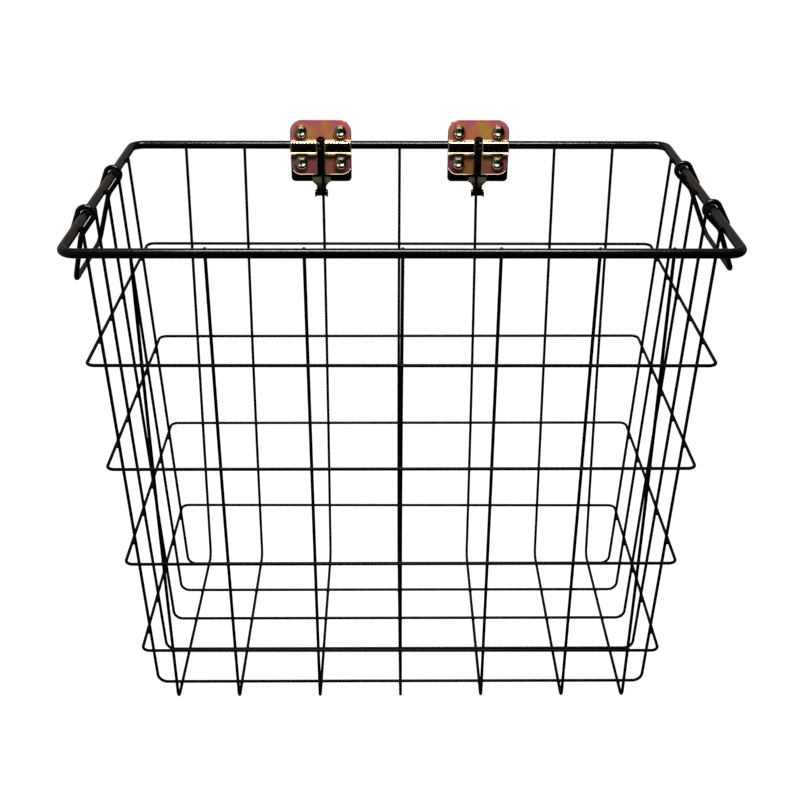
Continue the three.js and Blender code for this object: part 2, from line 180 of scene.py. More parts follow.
def subdivide(path, longest, closed=False):
    """The path with no run longer than that, in millimetres."""
    out = []
    n = len(path)
    for i in range(n if closed else n - 1):
        p, q = path[i], path[(i + 1) % n]
        cuts = max(1, math.ceil((q - p).length / longest))
        out += [p.lerp(q, k / cuts) for k in range(cuts)]
    if not closed:
        out.append(path[-1].copy())
    return out


def rod(name, path, radius, sides, closed=False):
    """A round rod along the path, closed on itself or with domed ends."""
    n = len(path)
    tangents = []
    for i in range(n):
        a = path[i - 1] if closed or i > 0 else path[i]
        b = path[(i + 1) % n] if closed or i < n - 1 else path[i]
        tangents.append((b - a).normalized())
    normal = Vector((0, 0, 1)) if abs(tangents[0].z) < 0.9 else Vector((0, 1, 0))
    normal = (normal - tangents[0] * normal.dot(tangents[0])).normalized()
    stations = []
    for i in range(n):
        if i:
            normal = tangents[i - 1].rotation_difference(tangents[i]) @ normal
            normal = (normal - tangents[i] * normal.dot(tangents[i])).normalized()
        stations.append((path[i], tangents[i], normal.copy(), radius))
    if not closed:
        for end in (0, 1):
            p, t, m, _ = stations[-1 if end else 0]
            out = t if end else -t
            for k in (1, 2, 3):
                a = k / 4 * math.pi / 2
                cap = (p + out * (radius * DOME * math.sin(a)), t, m, radius * math.cos(a))
                if end:
                    stations.append(cap)
                else:
                    stations.insert(0, cap)
    verts = []
    for p, t, m, r in stations:
        side = t.cross(m)
        for k in range(sides):
            a = 2 * math.pi * k / sides
            verts.append(p + (m * math.cos(a) + side * math.sin(a)) * r)
    count = len(stations)
    faces = []
    for i in range(count if closed else count - 1):
        j = (i + 1) % count
        for k in range(sides):
            m = (k + 1) % sides
            faces.append((i * sides + k, i * sides + m, j * sides + m, j * sides + k))
    if not closed:
        first = stations[0][0] - stations[0][1] * (radius * DOME * 0.08)
        last = stations[-1][0] + stations[-1][1] * (radius * DOME * 0.08)
        verts += [first, last]
        base = (count - 1) * sides
        for k in range(sides):
            m = (k + 1) % sides
            faces.append((m, k, len(verts) - 2))
            faces.append((base + k, base + m, len(verts) - 1))
    return link_mesh(name, verts, faces)


# ---------------------------------------------------------------- materials
def new_material(name):
    mat = bpy.data.materials.new(name)
    mat.use_nodes = True
    nodes = mat.node_tree.nodes
    return mat, nodes, mat.node_tree.links, nodes["Principled BSDF"]


def noise_node(nodes, links, coord, scale, detail=2.0, rough=0.5):
    node = nodes.new("ShaderNodeTexNoise")
    node.inputs["Scale"].default_value = scale
    node.inputs["Detail"].default_value = detail
    node.inputs["Roughness"].default_value = rough
    links.new(coord, node.inputs["Vector"])
    return node


def ramp_node(nodes, links, fac, stops):
    node = nodes.new("ShaderNodeValToRGB")
    ramp = node.color_ramp
    while len(ramp.elements) < len(stops):
        ramp.elements.new(0.5)
    for element, (pos, colour) in zip(ramp.elements, stops):
        element.position = pos
        element.color = (*colour, 1)
    links.new(fac, node.inputs["Fac"])
    return node


def maths(nodes, links, operation, *values):
    """A maths node; each value is a number or a socket."""
    node = nodes.new("ShaderNodeMath")
    node.operation = operation
    for socket, value in zip(node.inputs, values):
        if isinstance(value, (int, float)):
            socket.default_value = value
        else:
            links.new(value, socket)
    return node.outputs["Value"]


def map_range(nodes, links, value, lo, hi, out_lo, out_hi):
    """The value carried from one range to another, held at the ends."""
    node = nodes.new("ShaderNodeMapRange")
    for key, number in (("From Min", lo), ("From Max", hi), ("To Min", out_lo), ("To Max", out_hi)):
        node.inputs[key].default_value = number
    links.new(value, node.inputs["Value"])
    return node.outputs["Result"]


def add_bump(nodes, links, bsdf, height, strength, depth):
    bump = nodes.new("ShaderNodeBump")
    bump.inputs["Strength"].default_value = strength
    bump.inputs["Distance"].default_value = depth
    links.new(height, bump.inputs["Height"])
    links.new(bump.outputs["Normal"], bsdf.inputs["Normal"])


def black_coating(name, rough_low, rough_high, specular, peel_strength):
    """Glossy black dipped coating: slight orange peel, a thin brown cast, a little dust."""
    mat, nodes, links, bsdf = new_material(name)
    coord = nodes.new("ShaderNodeTexCoord").outputs["Object"]
    cloud = noise_node(nodes, links, coord, 60.0, 3.0)
    tint = ramp_node(nodes, links, cloud.outputs["Fac"], [
        (0.30, (0.0016, 0.0014, 0.0014)),
        (0.62, (0.0030, 0.0026, 0.0024)),
        (0.80, (0.0060, 0.0048, 0.0042)),
    ])
    links.new(tint.outputs["Color"], bsdf.inputs["Base Color"])
    speck = noise_node(nodes, links, coord, 900.0, 2.0)
    links.new(map_range(nodes, links, speck.outputs["Fac"], 0.35, 0.75, rough_low, rough_high),
              bsdf.inputs["Roughness"])
    bsdf.inputs["Specular IOR Level"].default_value = specular
    bsdf.inputs["IOR"].default_value = 1.42
    peel = noise_node(nodes, links, coord, 420.0, 2.0)
    add_bump(nodes, links, bsdf, peel.outputs["Fac"], peel_strength, 0.0001)
    return mat


def yellow_zinc():
    """Yellow chromate over zinc. The flats are satin and drift from gold in the middle to rose at
    the outer edges; the channel over the rod and the rolled edges are rubbed bright."""
    mat, nodes, links, bsdf = new_material("yellow_zinc")
    coord = nodes.new("ShaderNodeTexCoord").outputs["Object"]
    split = nodes.new("ShaderNodeSeparateXYZ")
    links.new(coord, split.inputs["Vector"])
    across = maths(nodes, links, "SUBTRACT", split.outputs["X"], RIM_CENTRE.x)
    across = maths(nodes, links, "ABSOLUTE", across)
    across = maths(nodes, links, "SUBTRACT", across, BRACKET_X / 1000)
    across = maths(nodes, links, "DIVIDE", across, PLATE_HALF / 1000)
    outward = maths(nodes, links, "MULTIPLY", across, across)
    height = maths(nodes, links, "SUBTRACT", split.outputs["Z"], RIM_CENTRE.z)
    upward = map_range(nodes, links, maths(nodes, links, "ABSOLUTE", height), 0.006, 0.018, 0.0, 1.0)
    drift = noise_node(nodes, links, coord, 75.0, 3.0, 0.55)
    fine = noise_node(nodes, links, coord, 420.0, 3.0, 0.6)
    patch = map_range(nodes, links, drift.outputs["Fac"], 0.3, 0.7, 0.0, 0.62)
    patch = maths(nodes, links, "MULTIPLY_ADD", outward, 0.24, patch)
    patch = maths(nodes, links, "MULTIPLY_ADD", upward, 0.22, patch)
    patch = maths(nodes, links, "MULTIPLY_ADD", fine.outputs["Fac"], 0.10, patch)
    tint = ramp_node(nodes, links, patch, [
        (0.12, (0.52, 0.50, 0.15)),
        (0.26, (0.70, 0.42, 0.13)),
        (0.42, (0.74, 0.34, 0.17)),
        (0.60, (0.76, 0.25, 0.23)),
        (0.85, (0.66, 0.20, 0.29)),
    ])
    polish = nodes.new("ShaderNodeAttribute")
    polish.attribute_name = "polish"
    bright = nodes.new("ShaderNodeMix")
    bright.data_type = "RGBA"
    links.new(polish.outputs["Fac"], bright.inputs[0])
    # painted light and shade: the upper flat is brightened, the channel and the flats below it are darkened
    # with painted shade, and the top edge gets a dark painted shade
    painted_light_and_shade = nodes.new("ShaderNodeHueSaturation")
    painted_light_and_shade.inputs["Saturation"].default_value = 1.12
    light_and_shade_by_height = map_range(nodes, links, height, 0.0035, 0.0062, 0.55, 1.12)
    top_edge_shade = map_range(nodes, links, height, 0.0168, 0.0174, 1.12, 0.35)
    links.new(maths(nodes, links, "MINIMUM", light_and_shade_by_height, top_edge_shade), painted_light_and_shade.inputs["Value"])
    links.new(tint.outputs["Color"], painted_light_and_shade.inputs["Color"])
    links.new(painted_light_and_shade.outputs["Color"], bright.inputs[6])
    bright.inputs[7].default_value = (0.72, 0.60, 0.42, 1)
    # painted shade: the tongue below the plates is darkened still more
    tongue = nodes.new("ShaderNodeHueSaturation")
    links.new(map_range(nodes, links, height, -0.0275, -0.0260, 0.25, 1.0), tongue.inputs["Value"])
    links.new(bright.outputs[2], tongue.inputs["Color"])
    links.new(tongue.outputs["Color"], bsdf.inputs["Base Color"])
    links.new(map_range(nodes, links, polish.outputs["Fac"], 0, 1, 0.30, 1.0), bsdf.inputs["Metallic"])
    links.new(map_range(nodes, links, polish.outputs["Fac"], 0, 1, 0.40, 0.10), bsdf.inputs["Roughness"])
    add_bump(nodes, links, bsdf, fine.outputs["Fac"], 0.12, 0.0001)
    return mat


def rivet_steel():
    """Bright rivet steel under a thin yellow passivation."""
    mat, nodes, links, bsdf = new_material("rivet_steel")
    coord = nodes.new("ShaderNodeTexCoord").outputs["Object"]
    drift = noise_node(nodes, links, coord, 180.0, 3.0)
    tint = ramp_node(nodes, links, drift.outputs["Fac"], [
        (0.35, (0.60, 0.56, 0.34)), (0.55, (0.72, 0.64, 0.46)), (0.70, (0.70, 0.54, 0.42))])
    links.new(tint.outputs["Color"], bsdf.inputs["Base Color"])
    bsdf.inputs["Metallic"].default_value = 1.0
    bsdf.inputs["Roughness"].default_value = 0.17
    return mat


BLACK = black_coating("black_coating", 0.14, 0.26, 0.5, 0.10)
THIN_BLACK = black_coating("black_coating_on_wire", 0.28, 0.40, 0.12, 0.03)
ZINC = yellow_zinc()
RIVET = rivet_steel()


def finish_piece(obj, body, nodes, material):
    """Give the object its material and body, and hide the CAD nodes it stands for."""
    obj.data.materials.append(material)
    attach(obj, body)
    if nodes:
        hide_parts(*nodes)
    return obj


def black_piece(obj, body, *nodes, material=BLACK):
    return finish_piece(obj, body, nodes, material)


# ---------------------------------------------------------------- rim and basket wires
def hoop_path(half_x, half_y, corner_r, steps, tilt):
    """A closed rectangle with round corners, whose corners lie at the heights that tilt gives."""
    corners = [(half_x, -half_y), (half_x, half_y), (-half_x, half_y), (-half_x, -half_y)]
    return round_path([(x, y, tilt(x, y)) for x, y in corners], corner_r, steps, closed=True)


rim_path = hoop_path(RIM_HALF_X, RIM_HALF_Y, RIM_CORNER_R, 14, lambda x, y: 0.0)
black_piece(rod("rim_rod_bar", subdivide(rim_path, 40, True), ROD_R, 28, True), "basket", "rim_rod")

ring_heights = []
for k in range(1, 5):
    base = -k * RING_PITCH
    lean_x, lean_y = random.uniform(-0.5, 0.5), random.uniform(-0.4, 0.4)
    half_x = TOP_HALF_X + SLOPE_X * base + LAYER
    half_y = TOP_HALF_Y + SLOPE_Y * base + LAYER

    def tilt(x, y, base=base, lean_x=lean_x, lean_y=lean_y):
        return base + lean_x * x / 180 + lean_y * y / 100

    ring_heights.append(tilt)
    path = hoop_path(half_x, half_y, RING_CORNER_R, 10, tilt)
    black_piece(rod(f"ring_wire_{k}_bar", subdivide(path, 40, True), WIRE_R, 14, True),
                "basket", f"ring_wire_{k}", material=THIN_BLACK)


def bow(amount, z):
    """Sideways bow of an upright wire: nothing at the rim and the floor, most at mid height."""
    t = min(max(-z / DEPTH, 0.0), 1.0)
    return amount * math.sin(math.pi * t)


long_bows = [(random.uniform(-0.6, 0.6), random.uniform(-0.6, 0.6)) for _ in LONG_WIRE_X]
cross_bows = [(random.uniform(-0.9, 0.9), random.uniform(-0.9, 0.9)) for _ in CROSS_WIRE_Y]


def u_wire(name, node, top, bottom, floor, place, bows):
    """An upright, the floor run and the other upright in one wire. place(u, v, z) turns the
    distance u along the wire's plane and the sideways offset v into a point."""
    corners = [(-top, TIP_ABOVE_RIM), (-bottom, floor), (bottom, floor), (top, TIP_ABOVE_RIM)]
    flat = round_path([(u, 0, z) for u, z in corners], WIRE_BEND_R, 9)
    flat = subdivide(flat, 18)
    path = [Vector(place(p.x, bow(bows[0] if p.x < 0 else bows[1], p.z), p.z)) for p in flat]
    black_piece(rod(name, path, WIRE_R, 14), "basket", node, material=THIN_BLACK)


for i, x in enumerate(LONG_WIRE_X):
    u_wire(f"long_wire_{i + 1}_bar", f"long_wire_{i + 1}",
           TOP_HALF_Y + SLOPE_Y * TIP_ABOVE_RIM, BOTTOM_HALF_Y, -DEPTH,
           lambda u, v, z, x=x: (x + v, u, z), long_bows[i])

for j, y in enumerate(CROSS_WIRE_Y):
    u_wire(f"cross_wire_{j + 1}_bar", f"cross_wire_{j + 1}",
           TOP_HALF_X + SLOPE_X * TIP_ABOVE_RIM, BOTTOM_HALF_X + SLOPE_X * LAYER, -DEPTH + LAYER,
           lambda u, v, z, y=y: (u, y + v, z), cross_bows[j])


# ---------------------------------------------------------------- welds under the coating
def nugget(verts, faces, centre, radii):
    """A small smooth lump, added to the lists."""
    rings, sides = 6, 10
    start = len(verts)
    for i in range(1, rings):
        a = math.pi * i / rings
        for k in range(sides):
            b = 2 * math.pi * k / sides
            verts.append((centre[0] + radii[0] * math.sin(a) * math.cos(b),
                          centre[1] + radii[1] * math.sin(a) * math.sin(b),
                          centre[2] + radii[2] * math.cos(a)))
    verts.append((centre[0], centre[1], centre[2] + radii[2]))
    verts.append((centre[0], centre[1], centre[2] - radii[2]))
    for i in range(rings - 2):
        for k in range(sides):
            m = (k + 1) % sides
            a, b = start + i * sides, start + (i + 1) * sides
            faces.append((a + k, b + k, b + m, a + m))
    last = start + (rings - 2) * sides
    for k in range(sides):
        m = (k + 1) % sides
        faces.append((start + k, start + m, len(verts) - 2))
        faces.append((last + m, last + k, len(verts) - 1))


def welds(name, spots):
    """One piece for many weld lumps, each given as its centre and its three radii."""
    verts, faces = [], []
    for centre, radii in spots:
        nugget(verts, faces, centre, radii)
    return black_piece(link_mesh(name, verts, faces), "basket", material=THIN_BLACK)


spots = []
for i, x in enumerate(LONG_WIRE_X):
    for side in (-1, 1):
        amount = long_bows[i][0 if side < 0 else 1]
        for tilt in ring_heights:
            y = side * (TOP_HALF_Y + SLOPE_Y * tilt(x, 0) + LAYER / 2)
            z = tilt(x, y)
            spots.append(((x + bow(amount, z), y, z), (WELD_R, WELD_THROUGH_R, WELD_R)))
for j, y in enumerate(CROSS_WIRE_Y):
    for side in (-1, 1):
        amount = cross_bows[j][0 if side < 0 else 1]
        for tilt in ring_heights:
            x = side * (TOP_HALF_X + SLOPE_X * tilt(0, y) + LAYER / 2)
            z = tilt(x, y)
            spots.append(((x, y + bow(amount, z), z), (WELD_THROUGH_R, WELD_R, WELD_R)))
welds("ring_welds", spots)

spots = []
for x in LONG_WIRE_X:
    for y in CROSS_WIRE_Y:
        spots.append(((x, y, -DEPTH + LAYER / 2), (WELD_R, WELD_R, WELD_THROUGH_R)))
welds("floor_welds", spots)

spots = []
for x in LONG_WIRE_X:
    for side in (-1, 1):
        spots.append(((x, side * (TOP_HALF_Y + WIRE_R + 0.1), 0), (1.3, 1.3, 2.0)))
for y in CROSS_WIRE_Y:
    for side in (-1, 1):
        spots.append(((side * (TOP_HALF_X + WIRE_R + 0.1), y, 0), (1.3, 1.15, 2.0)))
# the upright wire that ends in each bracket's slot has a heavier weld
for side in (-1, 1):
    spots.append(((side * (BRACKET_X - 0.7), TOP_HALF_Y + 1.1, 3.0), (1.8, 1.6, 2.4)))
welds("rim_welds", spots)


# ---------------------------------------------------------------- bails
def touch_angle(o, w, side):
    """Angle on the eye circle where the straight run from point (o, w) touches it."""
    return math.atan2(w, o) + side * math.acos(EYE_R / math.hypot(o, w))


def bail_path(side, slide, lean_degrees):
    """The bail's centre line: a tail, an eye round the rod, a leg, the bar, and the same mirrored.
    It is laid out hanging, then leaned outward and slid along the rod."""
    start = touch_angle(*EYE_TAIL, 1)
    stop = touch_angle(LEG_OUT, NECK_UP, -1)
    while stop < start:
        stop += 2 * math.pi
    steps = 30

    def half(sign):
        y = sign * BAIL_HALF_EYE
        eye = [Vector((EYE_R * math.cos(a), y, EYE_R * math.sin(a)))
               for a in (start + (stop - start) * i / steps for i in range(steps + 1))]
        neck, middle = (LEG_OUT, y, NECK_UP), (LEG_OUT, 0, -BAIL_DROP)
        low = (LEG_OUT, sign * BAIL_HALF_BAR, -BAIL_DROP)
        turns = round_path([eye[-1], neck, low, middle], [0, 8, BAIL_BEND_R, 0], 9)
        return [Vector((EYE_TAIL[0], y, EYE_TAIL[1]))] + eye + turns[1:-1]

    local = half(1) + half(-1)[::-1]
    lean = math.radians(lean_degrees)
    out = []
    for p in local:
        o = p.x * math.cos(lean) - p.z * math.sin(lean)
        w = p.z * math.cos(lean) + p.x * math.sin(lean)
        out.append(Vector((side * (RIM_HALF_X + o), slide + p.y, w)))
    return out


BAILS = (("left", -1, LEFT_SLIDE, LEFT_LEAN), ("right", 1, RIGHT_SLIDE, RIGHT_LEAN))
for label, side, slide, lean in BAILS:
    path = subdivide(bail_path(side, slide, lean), 12)
    black_piece(rod(f"bail_{label}_bar", path, BAIL_R, 20), f"{label}_bail", f"bail_{label}")


# ---------------------------------------------------------------- plates and hooks
def arc2(cy, cz, r, start, end, steps):
    """Points (y, z) on an arc, from one angle in degrees to another."""
    return [(cy + r * math.cos(math.radians(start + (end - start) * i / steps)),
             cz + r * math.sin(math.radians(start + (end - start) * i / steps)))
            for i in range(steps + 1)]


def smooth(value, low, high):
    """0 up to low, 1 from high, and a smooth step between."""
    t = min(max((value - low) / (high - low), 0.0), 1.0)
    return t * t * (3 - 2 * t)


def bulged_profile(flat_y, top, bottom, bulge_r, fillet_r):
    """Side profile (y, z) of the back plate, with a half-round bulge over the rim rod."""
    reach = flat_y + fillet_r - RIM_HALF_Y
    rise = math.sqrt((bulge_r + fillet_r) ** 2 - reach ** 2)
    lean = math.degrees(math.atan2(rise, reach))
    upper = arc2(flat_y + fillet_r, rise, fillet_r, 180, 180 + lean, 10)
    lower = arc2(flat_y + fillet_r, -rise, fillet_r, 180 - lean, 180, 10)
    bulge = arc2(RIM_HALF_Y, 0, bulge_r, lean, -lean, 26)[1:-1]
    return [(flat_y, top)] + upper + bulge + lower + [(flat_y, bottom)]


def corner_width(z, edge, r, half, inward):
    """Half width at height z of an outline whose corner of radius r ends at height edge."""
    depth = (edge - z) * inward
    if depth >= r:
        return half
    depth = max(depth, 0.0)
    return half - r + math.sqrt(max(r * r - (r - depth) ** 2, 0.0))


def refine(profile, heights):
    """The profile from top to bottom with extra levels put in at the given heights."""
    out = [profile[0]]
    for (ya, za), (yb, zb) in zip(profile, profile[1:]):
        for z in sorted((h for h in heights if zb + 0.02 < h < za - 0.02), reverse=True):
            t = (za - z) / (za - zb)
            out.append((ya + (yb - ya) * t, z))
        out.append((yb, zb))
    return out


def corner_levels(edge, r, inward, steps=9):
    """Heights that follow the corner's arc evenly."""
    return [edge - inward * r * (1 - math.sin(math.pi / 2 * k / steps)) for k in range(1, steps)]


def normals_of(profile):
    """The profile's sideways direction at each of its points."""
    out = []
    for i, p in enumerate(profile):
        a = profile[max(i - 1, 0)]
        b = profile[min(i + 1, len(profile) - 1)]
        d = Vector((b[0] - a[0], b[1] - a[1])).normalized()
        out.append(Vector((-d.y, d.x)))
    return out


def add_face(faces, *corners):
    """Add a face, or nothing when so many corners coincide that it has no area."""
    loop = tuple(dict.fromkeys(corners))
    if len(loop) > 2:
        faces.append(loop)


def set_polish(obj, values):
    obj.data.attributes.new("polish", "FLOAT", "POINT").data.foreach_set("value", values)


def close_mesh(obj):
    """Merge coincident points and turn every face outward."""
    mesh = bmesh.new()
    mesh.from_mesh(obj.data)
    bmesh.ops.remove_doubles(mesh, verts=mesh.verts, dist=2e-6)
    bmesh.ops.recalc_face_normals(mesh, faces=mesh.faces)
    mesh.to_mesh(obj.data)
    mesh.free()


def bent_plate(name, x0, profile, thickness, halves, columns=10, bevel=0.3, polish=0.0):
    """A sheet that follows the side profile, with a half width at each level. Its polish says how
    brightly it is rubbed, from 0 to 1."""
    verts, rows, faces = [], [], []
    for face in (1, -1):
        for (y, z), n, half in zip(profile, normals_of(profile), halves):
            depth = face * thickness / 2
            rows.append(range(len(verts), len(verts) + 2 * columns + 1))
            for k in range(2 * columns + 1):
                verts.append((x0 - half + half * k / columns, y + n.x * depth, z + n.y * depth))
    levels = len(profile)
    front, back = rows[:levels], rows[levels:]
    for i in range(levels - 1):
        for k in range(2 * columns):
            faces.append((front[i][k], front[i + 1][k], front[i + 1][k + 1], front[i][k + 1]))
            faces.append((back[i][k + 1], back[i + 1][k + 1], back[i + 1][k], back[i][k]))
        for k in (0, 2 * columns):
            faces.append((front[i][k], back[i][k], back[i + 1][k], front[i + 1][k]))
    for i in (0, levels - 1):
        for k in range(2 * columns):
            faces.append((front[i][k], front[i][k + 1], back[i][k + 1], back[i][k]))
    obj = link_mesh(name, verts, faces)
    set_polish(obj, [polish] * len(verts))
    close_mesh(obj)
    round_edges(obj, bevel)
    return obj


def round_edges(obj, width):
    mod = obj.modifiers.new("edge", "BEVEL")
    mod.width = width / 1000
    mod.segments = 3
    mod.limit_method = "ANGLE"
    mod.angle_limit = math.radians(SHARP_EDGE)
    mod.use_clamp_overlap = True
    weighted = obj.modifiers.new("normals", "WEIGHTED_NORMAL")
    weighted.keep_sharp = False
    weighted.weight = 60


BACK_FLAT_Y = RIM_HALF_Y + GAP / 2 + BACK_T / 2
INNER_FLAT_Y = RIM_HALF_Y - GAP / 2 - INNER_T / 2


def rolled_outline(spots, columns, slot_rows, side_normal, slot_normal):
    """The grid's border as (vertex key, outward direction) in order, once round the slotted plate.
    spots holds each row's points, and slot_rows is the first row that the slot reaches."""
    last_row, last = len(spots) - 1, 2 * columns + 1
    up, down = Vector((0, 1)), Vector((0, -1))
    loop = [((0, k), up) for k in range(last + 1)]
    loop += [((i, last), side_normal(*spots[i][last])) for i in range(last_row + 1)]
    loop += [((last_row, k), down) for k in range(last, columns, -1)]
    loop += [((last_row, columns + 1), Vector((-math.sin(a), -math.cos(a)))) for a in (0.4, 0.8, 1.2)]
    loop += [((i, columns + 1), slot_normal(*spots[i][columns + 1]))
             for i in range(last_row, slot_rows - 1, -1)]
    loop += [((slot_rows - 1, columns), down)]
    loop += [((i, columns), slot_normal(*spots[i][columns])) for i in range(slot_rows, last_row + 1)]
    loop += [((last_row, columns), Vector((math.sin(a), -math.cos(a)))) for a in (1.2, 0.8, 0.4)]
    loop += [((last_row, k), down) for k in range(columns, -1, -1)]
    loop += [((i, 0), side_normal(*spots[i][0])) for i in range(last_row, -1, -1)]
    return loop


def inner_plate(name, x0):
    """The inner plate: a pressed channel over the rod, an open slot for the upright wire below it,
    and rolled edges all round."""
    columns, roll_steps = 10, 5
    channel_y = RIM_HALF_Y - CHANNEL_DEPTH
    top, bottom = INNER_TOP - EDGE_ROLL, INNER_BOTTOM + EDGE_ROLL
    bends = [(INNER_FLAT_Y, top), (INNER_FLAT_Y, CHANNEL_TOP + CHANNEL_SLANT),
             (channel_y, CHANNEL_TOP), (channel_y, CHANNEL_BOTTOM),
             (INNER_FLAT_Y, CHANNEL_BOTTOM - CHANNEL_SLANT), (INNER_FLAT_Y, bottom)]
    path = round_path([(0, y, z) for y, z in bends], [0, *CHANNEL_RADII, 0], 10)
    half, top_r, low_r = PLATE_HALF - EDGE_ROLL, TOP_CORNER_R - EDGE_ROLL, LOW_CORNER_R - EDGE_ROLL
    slot_r, slot_top = SLOT_HALF + EDGE_ROLL, SLOT_TOP + EDGE_ROLL
    levels = corner_levels(top, top_r, 1) + corner_levels(bottom, low_r, -1)
    levels += [slot_top] + corner_levels(slot_top, slot_r, 1, 7) + [14.0, 11.0, 8.0, -9.0, -11.0]
    profile = refine([(p.y, p.z) for p in path], levels)
    normals = normals_of(profile)

    def half_at(z):
        return min(corner_width(z, top, top_r, half, 1), corner_width(z, bottom, low_r, half, -1))

    def slot_at(z):
        return 0.0 if z >= slot_top - 1e-4 else corner_width(z, slot_top, slot_r, slot_r, 1)

    def rubbed(z):
        return 1 - smooth(z, 2.8, 3.5) if z > 0 else smooth(z, -7.2, -6.2)

    def side_normal(x, z):
        side = math.copysign(1, x)
        for edge, r, up in ((top, top_r, 1), (bottom, low_r, -1)):
            centre_z = edge - up * r
            if (z - centre_z) * up > 0:
                return Vector((x - side * (half - r), z - centre_z)).normalized()
        return Vector((side, 0))

    def slot_normal(x, z):
        centre_z = slot_top - slot_r
        return Vector((-x, centre_z - z if z > centre_z else 0)).normalized()

    verts, shine, faces = [], [], []

    def add(x, y, z, n, depth, polish):
        verts.append((x0 + x, y + n.x * depth, z + n.y * depth))
        shine.append(polish)
        return len(verts) - 1

    spots = []
    for y, z in profile:
        wide, slot = half_at(z), slot_at(z)
        xs = [-wide + (wide - slot) * k / columns for k in range(columns + 1)]
        spots.append([(x, z) for x in xs + [-x for x in reversed(xs)]])
    sheets = []
    for face in (1, -1):
        sheets.append([[add(x, y, z, n, face * INNER_T / 2, rubbed(z)) for x, z in row]
                       for (y, _), n, row in zip(profile, normals, spots)])
    slot_rows = next(i for i, (_, z) in enumerate(profile) if slot_at(z) > 0)
    for sheet in sheets:
        for i in range(len(profile) - 1):
            for k in range(2 * columns + 1):
                if k == columns and i >= slot_rows - 1:
                    continue
                add_face(faces, sheet[i][k], sheet[i + 1][k], sheet[i + 1][k + 1], sheet[i][k + 1])
    loop = rolled_outline(spots, columns, slot_rows, side_normal, slot_normal)
    rings = [[sheets[0][i][k] for (i, k), _ in loop]]
    for step in range(1, 2 * roll_steps):
        a = math.pi * step / (2 * roll_steps)
        reach, depth = EDGE_ROLL * math.sin(a), INNER_T / 2 * math.cos(a)
        ring = []
        for (i, k), out in loop:
            x, z = spots[i][k]
            ring.append(add(x + out.x * reach, profile[i][0], z + out.y * reach, normals[i], depth,
                            1 - smooth(out.y, -0.2, 0.5)))
        rings.append(ring)
    rings.append([sheets[1][i][k] for (i, k), _ in loop])
    for a, b in zip(rings, rings[1:]):
        for k in range(len(loop)):
            m = (k + 1) % len(loop)
            add_face(faces, a[k], a[m], b[m], b[k])
    obj = link_mesh(name, verts, faces)
    set_polish(obj, shine)
    close_mesh(obj)
    return obj


def back_plate(name, x0):
    """The plate behind the rod, taller than the inner one."""
    profile = bulged_profile(BACK_FLAT_Y, BACK_TOP, BACK_BOTTOM, ROD_R + GAP + BACK_T / 2, 1.6)
    levels = corner_levels(BACK_TOP, TOP_CORNER_R, 1) + corner_levels(BACK_BOTTOM, BACK_LOW_CORNER_R, -1, 6)
    levels += [14.0, 10.0, 7.0, -10.0, -14.0, -18.0]
    profile = refine(profile, levels)

    def half_at(z):
        return min(corner_width(z, BACK_TOP, TOP_CORNER_R, PLATE_HALF, 1),
                   corner_width(z, BACK_BOTTOM, BACK_LOW_CORNER_R, PLATE_HALF, -1))

    return bent_plate(name, x0, profile, BACK_T, [half_at(z) for _, z in profile], bevel=0.35,
                      polish=DARK_POLISH)


# the tongue's foot lies just behind the rear upright wire
WEB_Y = TOP_HALF_Y + SLOPE_Y * TAIL_BOTTOM + WIRE_R + GAP + 0.35 + TAIL_T / 2


def back_tail(name, x0):
    """The tongue below the back plate: it steps forward to the upright wire and widens at its foot."""
    bends = [(BACK_FLAT_Y, -21), (BACK_FLAT_Y, -23), (WEB_Y, -30.5), (WEB_Y, TAIL_BOTTOM)]
    path = round_path([(0, y, z) for y, z in bends], 2.5, 6)
    profile = refine([(p.y, p.z) for p in path],
                     [-26.0, -26.6, -27.0, -27.5, -28.0, -28.6, -29.2, -30.0, -30.8, -31.2, -31.5, -32.0,
                      -34.9, -35.3, -35.5])

    neck_top, neck_start, neck_end, foot_top = -26.4, -29.2, -31.0, -31.6

    def half_at(z):
        if z > neck_top:
            return TAIL_ROOT_HALF
        if z > neck_start:
            t = (neck_top - z) / (neck_top - neck_start)
            return TAIL_ROOT_HALF - (TAIL_ROOT_HALF - TAIL_NECK_HALF) * math.sin(t * math.pi / 2)
        if z > neck_end:
            return TAIL_NECK_HALF
        if z > foot_top:
            t = (neck_end - z) / (neck_end - foot_top)
            return TAIL_NECK_HALF + (TAIL_FOOT_HALF - TAIL_NECK_HALF) * t
        return corner_width(z, TAIL_BOTTOM, 0.9, TAIL_FOOT_HALF, -1)

    return bent_plate(name, x0, profile, TAIL_T, [half_at(z) for _, z in profile], columns=4, bevel=0.28,
                      polish=DARK_POLISH)


def tail_ears(name, x0):
    """Two small lugs folded forward from the tongue round the upright wire."""
    verts, faces = [], []
    for sign in (-1, 1):
        outer, inner = TAIL_FOOT_HALF * sign, (TAIL_FOOT_HALF - EAR_T) * sign
        s = len(verts)
        lo_z = TAIL_BOTTOM + 0.3
        hi_z = lo_z + EAR_HEIGHT
        for y in (WEB_Y + 0.2, WEB_Y - EAR_LENGTH):
            for x, z in ((inner, lo_z), (outer, lo_z), (outer, hi_z), (inner, hi_z)):
                verts.append((x0 + x, y, z))
        faces += [(s, s + 1, s + 2, s + 3), (s + 7, s + 6, s + 5, s + 4)]
        faces += [(s + k, s + 4 + k, s + 4 + (k + 1) % 4, s + (k + 1) % 4) for k in range(4)]
    obj = link_mesh(name, verts, faces)
    set_polish(obj, [DARK_POLISH] * len(verts))
    close_mesh(obj)
    round_edges(obj, 0.35)
    return obj


